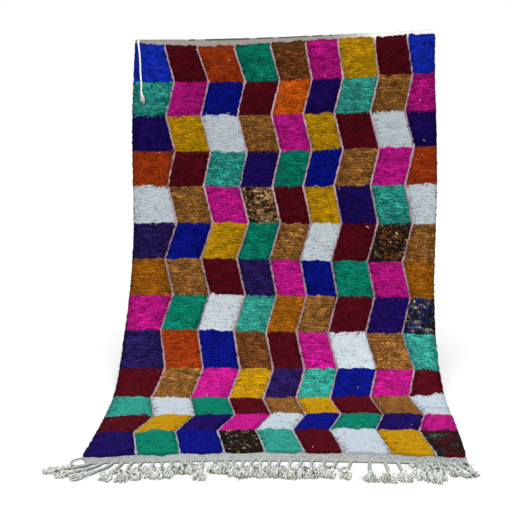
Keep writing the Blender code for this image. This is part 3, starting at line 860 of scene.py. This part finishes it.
def plied(centres, radius, pitch, plies, spread):
    """Centre lines and sizes of strands that wind round a centre line, one for each ply."""
    steps = np.linalg.norm(np.diff(centres, axis=0), axis=1)
    along = np.concatenate([[0], np.cumsum(steps)])
    way = np.gradient(centres[:, :2], axis=0)
    way /= np.maximum(np.linalg.norm(way, axis=1, keepdims=True), 1e-9)
    lines = []
    for i in range(plies):
        turn = 2 * math.pi * (along / pitch + i / plies)
        line = centres.copy()
        line[:, 0] += way[:, 1] * spread * np.cos(turn)
        line[:, 1] -= way[:, 0] * spread * np.cos(turn)
        line[:, 2] += spread * np.sin(turn)
        lines.append(line)
    return np.array(lines), np.full((plies, len(centres) - 1), radius)


def cord_part(centres, radius, pitch, colour):
    """A two-ply cord along a line as mesh data."""
    lines, sizes = plied(centres, radius, pitch, 2, radius * 0.85)
    shades = varied(np.array([linear(WOOLS[colour])] * 2), 0.08)
    return strand_mesh(lines, sizes, sizes, 6, shades)


def curve_points(route, count):
    """Evenly counted points on a smooth curve through a route."""
    route = np.asarray(route, float)
    padded = np.vstack([2 * route[0] - route[1], route, 2 * route[-1] - route[-2]])
    fine = []
    for a, b, c, d in zip(padded, padded[1:], padded[2:], padded[3:]):
        t = np.linspace(0, 1, 24, endpoint=False)[:, None]
        fine.append(
            (2 * b + (c - a) * t + (2 * a - 5 * b + 4 * c - d) * t**2 + (3 * b - a - 3 * c + d) * t**3) / 2
        )
    fine = np.vstack(fine + [route[-1:]])
    along = np.concatenate([[0], np.cumsum(np.linalg.norm(np.diff(fine, axis=0), axis=1))])
    at = np.linspace(0, along[-1], count)
    return np.column_stack([np.interp(at, along, fine[:, i]) for i in range(3)])


def knot_part(centre, way, colour):
    """A lumpy knot wound with the cord's own plies."""
    ahead = np.linspace(-1.15, 1.15, 11)
    size = KNOT_RADIUS * np.sqrt(np.clip(1 - (ahead / 1.2) ** 2, 0.04, 1))
    line = centre + way * ahead[:, None] * KNOT_HALF_LENGTH
    line = np.column_stack([line, np.full(11, KNOT_RADIUS)])
    wool = linear(WOOLS[colour])[None]
    body = strand_mesh(line[None], size[None, :-1] * 0.86, size[None, :-1] * 0.80, 8, wool)
    turns = np.linspace(0, 1, 30)
    wrap = 2 * math.pi * KNOT_WRAPS * turns + rng.uniform(0, 6)
    away = KNOT_RADIUS * 0.78 * np.sqrt(np.clip(1 - ((turns - 0.5) * 1.5) ** 2, 0.1, 1))
    step = (turns - 0.5) * 0.015
    coil = np.column_stack(
        [
            centre[0] + way[0] * step + way[1] * away * np.cos(wrap),
            centre[1] + way[1] * step - way[0] * away * np.cos(wrap),
            KNOT_RADIUS + away * np.sin(wrap),
        ]
    )
    sizes = np.full((1, 29), KNOT_PLY)
    return [body, strand_mesh(coil[None], sizes, sizes, 5, wool * 0.95)]


def tassel_part(start, way, length, spread, count, floor_h, wool):
    """Loose crimped plies that fan out from a knot and come to rest low down."""
    rings = 7
    t = np.linspace(0, 1, rings)[None]
    fan = rng.uniform(-1, 1, (count, 1))
    reach = length * rng.uniform(0.62, 1.06, (count, 1))
    turns = rng.uniform(4, 11, (count, 1))
    phase = rng.uniform(0, 6, (count, 1))
    crimp = rng.uniform(0.0008, 0.0034, (count, 1)) * np.sin(t * turns + phase) * np.minimum(1, 3 * t)
    sideways = 0.004 * fan + spread * fan * np.sin(math.pi * np.minimum(0.82 * t, 0.62)) + crimp
    centres = np.zeros((count, rings, 3))
    centres[..., 0] = start[0] + way[0] * reach * t + way[1] * sideways
    centres[..., 1] = start[1] + way[1] * reach * t - way[0] * sideways
    high = rng.uniform(0.001, 0.015, (count, 1)) * (1 - 0.5 * np.abs(fan))
    rise = high * (1 - t**2) + 0.003 * rng.random((count, 1)) * np.sin(t * turns) ** 2
    centres[..., 2] = floor_h + 0.0016 + rise
    taper = np.array([1.0, 1.1, 1.1, 1.0, 0.9, 0.7])
    sizes = 0.0017 * rng.uniform(0.7, 1.25, (count, 1)) * taper[None]
    pick = rng.random(count)
    shades = np.tile(linear(WOOLS[wool]), (count, 1))
    shades[pick < 0.16] = linear(WOOLS["straw"])
    shades[pick > 0.90] = linear(WOOLS["ash"])
    return strand_mesh(centres, sizes, sizes, 3, varied(shades, 0.14))


def tangle_part(middle, spread, depth, count):
    """Loose crimped threads that lie every way about a place in the fringe."""
    rings = 8
    t = np.linspace(0, 1, rings)[None]
    turn = rng.uniform(0, 2 * math.pi, (count, 1)) + rng.uniform(-3.0, 3.0, (count, 1)) * t
    step = rng.uniform(0.016, 0.036, (count, 1)) / rings
    start = rng.normal(0, 1, (count, 2)) * (spread * 0.45, depth)
    centres = np.zeros((count, rings, 3))
    centres[..., 0] = middle[0] + start[:, :1] + np.cumsum(step * np.cos(turn), axis=1)
    centres[..., 1] = middle[1] + start[:, 1:] + np.cumsum(step * np.sin(turn), axis=1)
    centres[..., 2] = 0.003 + rng.uniform(0.002, 0.012, (count, 1)) * np.sin(math.pi * t)
    sizes = rng.uniform(0.0011, 0.0020, (count, 1)).repeat(rings - 1, axis=1)
    shades = np.tile(linear(WOOLS["cord"]), (count, 1))
    shades[rng.random(count) < 0.17] = linear(WOOLS["ash"])
    return strand_mesh(centres, sizes, sizes, 3, varied(shades, 0.12))


def fringe_line(x, s, sway, reach):
    """A cord's centre line from inside the band to its knot, and the way it runs there."""
    t = np.linspace(-0.02, 0.84, 34)
    bow = 0.004 * np.sin(math.pi * np.clip(t, 0, 1)) * (1 if sway > 0 else -1)
    high = CORD_REST - 0.0030 * (1 - smooth(-0.02, 0.10, t))
    line = np.column_stack([x + sway * np.clip(t, 0, 1) ** 2 + bow, s + reach * t, high])
    way = line[-1, :2] - line[-8, :2]
    return line, way / np.linalg.norm(way)


def build_fringe(material):
    """The knotted fringe on the floor: plied cords, knots and frayed tails."""
    left = float(left_edge(FOOT[0]))
    cords, knots, tails = [], [], []
    for root, *measures in FRINGE:
        sway, reach, tail, spread = (value / 1000 for value in measures)
        x = left + root / 1000
        line, way = fringe_line(x, float(three_point(FOOT, x)), sway, reach)
        cords.append(cord_part(line, PLY_RADIUS, PLY_PITCH, "twine"))
        knots += knot_part(line[-1, :2] + way * 0.010, way, "cord")
        plies = 44 + int(spread * 1200)
        start = line[-1, :2] + way * 0.015
        tails.append(tassel_part(start, way, tail + 0.008, spread + 0.009, plies, 0.0, "cord"))
        tails.append(tangle_part(line[-1, :2] + way * 0.03, spread + 0.016, depth=0.011, count=12))
        if root < TANGLED_TO:
            tails.append(tangle_part(line[31, :2], spread=0.050, depth=0.008, count=20))
        if root > HEAPED_FROM:
            tails.append(tangle_part(line[16, :2], spread=0.034, depth=0.016, count=30))
    root = np.array([left + RING_ROOT, float(three_point(FOOT, left))])
    ring = [(root[0] + a / 1000, root[1] + b / 1000, CORD_REST) for a, b in RING_PATH]
    cords.append(cord_part(curve_points(ring, 60), PLY_RADIUS * 0.55, PLY_PITCH, "twine"))
    pieces = []
    for name, parts in (("fringe_cords", cords), ("fringe_knots", knots), ("fringe_tails", tails)):
        points, faces, shades = joined(parts)
        piece = mesh_piece(name, points, faces, shades, points[:, :2], material)
        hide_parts("bottom_heading")
        pieces.append(piece)
    return pieces


def build_braid(material):
    """The pale three-strand braid at the top left corner, and its knotted tassel."""
    line = curve_points(BRAID_ROUTE, 110)
    along = np.concatenate([[0], np.cumsum(np.linalg.norm(np.diff(line, axis=0), axis=1))])
    lines = []
    for i in range(3):
        turn = 2 * math.pi * (along / BRAID_PITCH + i / 3)
        strand = line.copy()
        strand[:, 0] += BRAID_SWAY * np.sin(turn)
        strand[:, 2] += BRAID_LIFT * np.sin(2 * turn)
        lines.append(strand)
    sizes = np.full((3, len(line) - 1), BRAID_STRAND)
    shades = varied(np.array([linear(WOOLS["bleached"])] * 3), 0.05)
    points, faces, shades = strand_mesh(np.array(lines), sizes, sizes * 0.9, 6, shades)
    braid = mesh_piece("braid", points, faces, shades, points[:, :2], material)
    end = line[-1]
    way = np.array(TASSEL_WAY) / math.hypot(*TASSEL_WAY)
    low = end[2] - KNOT_RADIUS * 0.8
    parts = knot_part(end[:2] + way * 0.009, way, "bleached")
    parts = [(p + np.array([0, 0, low - 0.001]), f, c) for p, f, c in parts]
    parts.append(tassel_part(end[:2] + way * 0.014, way, TASSEL_LENGTH - 0.016, 0.006, 26, low, "bleached"))
    points, faces, shades = joined(parts)
    tassel = mesh_piece("braid_end", points, faces, shades, points[:, :2], material)
    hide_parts("corner_braid")
    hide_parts("braid_tassel")
    route = place(curve_points(BRAID_ROUTE, 36))
    return braid, tassel


def build_edge(name, side, node, material):
    """A wrapped selvedge cord with short locks that stand out past the cloth's edge."""
    v = np.linspace(0.0, 1.0, EDGE_ROWS)
    index = 0 if side < 0 else 2
    s = BOUNDARIES[0][index] + (BOUNDARIES[-1][index] - BOUNDARIES[0][index]) * v
    edge = left_edge(s) if side < 0 else right_edge(s)
    core = np.column_stack([edge - side * 0.002, s, np.full(EDGE_ROWS, 0.0050)])
    lines, sizes = plied(core, radius=0.0024, pitch=0.012, plies=2, spread=0.0012)
    weave = varied(np.array([linear(WOOLS["weave"])] * 2), 0.05)
    parts = [strand_mesh(lines, sizes, sizes, 5, weave)]
    count = EDGE_LOCKS
    at = rng.uniform(s[0] + 0.002, s[-1] - 0.016, count)
    rim = left_edge(at) if side < 0 else right_edge(at)
    inner = rim - side * rng.uniform(0.002, 0.010, count)
    out = np.minimum(rng.gamma(1.8, 0.0017, count), LOCK_REACH)
    reach = rng.uniform(0.010, 0.020, count)
    height = rng.uniform(0.006, 0.017, count)
    centres = np.zeros((count, 3, 3))
    for i, (along, sideways, share) in enumerate(LOCK_PATH):
        centres[:, i, 0] = inner + side * out * sideways
        centres[:, i, 1] = at + reach * along
        centres[:, i, 2] = height * share
    band, column, _, _ = lozenge_at(inner - side * 0.01, at)
    shades = varied(wool_colours(band, column, inner, at)[0], 0.2)
    widths = np.array([0.0016, 0.0015])[None].repeat(count, 0)
    parts.append(strand_mesh(centres, widths, widths, 3, shades))
    points, faces, shades = joined(parts)
    piece = mesh_piece(name, points, faces, shades, points[:, :2], material)
    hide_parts(node)
    return piece


def build_camera():
    """The camera at the photograph's place and angle."""
    data = bpy.data.cameras.new("camera")
    data.sensor_width = 36.0
    data.lens = LENS
    camera = bpy.data.objects.new("camera", data)
    turn = Matrix.Rotation(YAW, 4, "Z") @ Matrix.Rotation(math.pi / 2 - PITCH, 4, "X")
    camera.matrix_world = Matrix.Translation(CAMERA_AT) @ turn @ Matrix.Rotation(ROLL, 4, "Z")
    bpy.context.scene.collection.objects.link(camera)
    bpy.context.scene.camera = camera


def build_floor():
    """A plain pale floor."""
    size = FLOOR_HALF_SIZE
    mesh = bpy.data.meshes.new("floor")
    corners = [(-size, -size, FLOOR), (size, -size, FLOOR), (size, size, FLOOR), (-size, size, FLOOR)]
    mesh.from_pydata(corners, [], [(0, 1, 2, 3)])
    floor = bpy.data.objects.new("floor", mesh)
    bpy.context.scene.collection.objects.link(floor)
    material = bpy.data.materials.new("floor")
    material.use_nodes = True
    shader = material.node_tree.nodes["Principled BSDF"]
    shader.inputs["Base Color"].default_value = (FLOOR_TONE, FLOOR_TONE, FLOOR_TONE, 1.0)
    shader.inputs["Roughness"].default_value = 0.9
    shader.inputs["Specular IOR Level"].default_value = 0.1
    mesh.materials.append(material)


def build_light():
    """Plain soft studio light: a white world and a broad lamp overhead."""
    bpy.context.scene.view_settings.view_transform = "Standard"
    world = bpy.data.worlds.new("world")
    world.use_nodes = True
    background = world.node_tree.nodes["Background"]
    background.inputs["Color"].default_value = (1.0, 1.0, 1.0, 1.0)
    background.inputs["Strength"].default_value = 1.0
    bpy.context.scene.world = world
    data = bpy.data.lights.new("overhead", "SUN")
    data.energy = LAMP_STRENGTH
    data.angle = LAMP_SPREAD
    lamp = bpy.data.objects.new("overhead", data)
    lamp.rotation_euler = (LAMP_TILT, 0.0, 0.0)
    bpy.context.scene.collection.objects.link(lamp)


build_camera()
build_light()
build_floor()
braid_wool = wool_material("braid_wool", roughness=0.85, fibre=(1400.0, 500.0), shades=(0.86, 1.10), bump=0.4)
cord_wool = wool_material("cord_wool", roughness=0.9, fibre=(1100.0, 1100.0), shades=(0.80, 1.12), bump=0.5)
flat_weave = wool_material("flat_weave", roughness=0.9, fibre=(260.0, 900.0), shades=(0.82, 1.12), bump=0.6)
pile_wool = wool_material("pile_wool", roughness=0.85, fibre=(900.0, 90.0), shades=(0.72, 1.25), bump=0.35)
ground_wool = wool_material("ground_wool", roughness=0.9, fibre=(600.0, 260.0), shades=(0.8, 1.15), bump=0.3)
build_braid(braid_wool)
ground = build_ground(ground_wool)
pile = build_pile(pile_wool) + [build_lines(pile_wool)]
heading = build_band("heading_weave", TOP_EDGE, FIELD_TOP, 0.003, "top_heading", flat_weave, top_shade, "top")
foot = build_band("foot_weave", BOUNDARIES[-1], FOOT, 0.004, "bottom_heading", flat_weave, foot_shade, "foot")
edges = [
    build_edge("left_edge_wool", -1, "left_selvedge", pile_wool),
    build_edge("right_edge_wool", 1, "right_selvedge", pile_wool),
]
fringe = build_fringe(cord_wool)
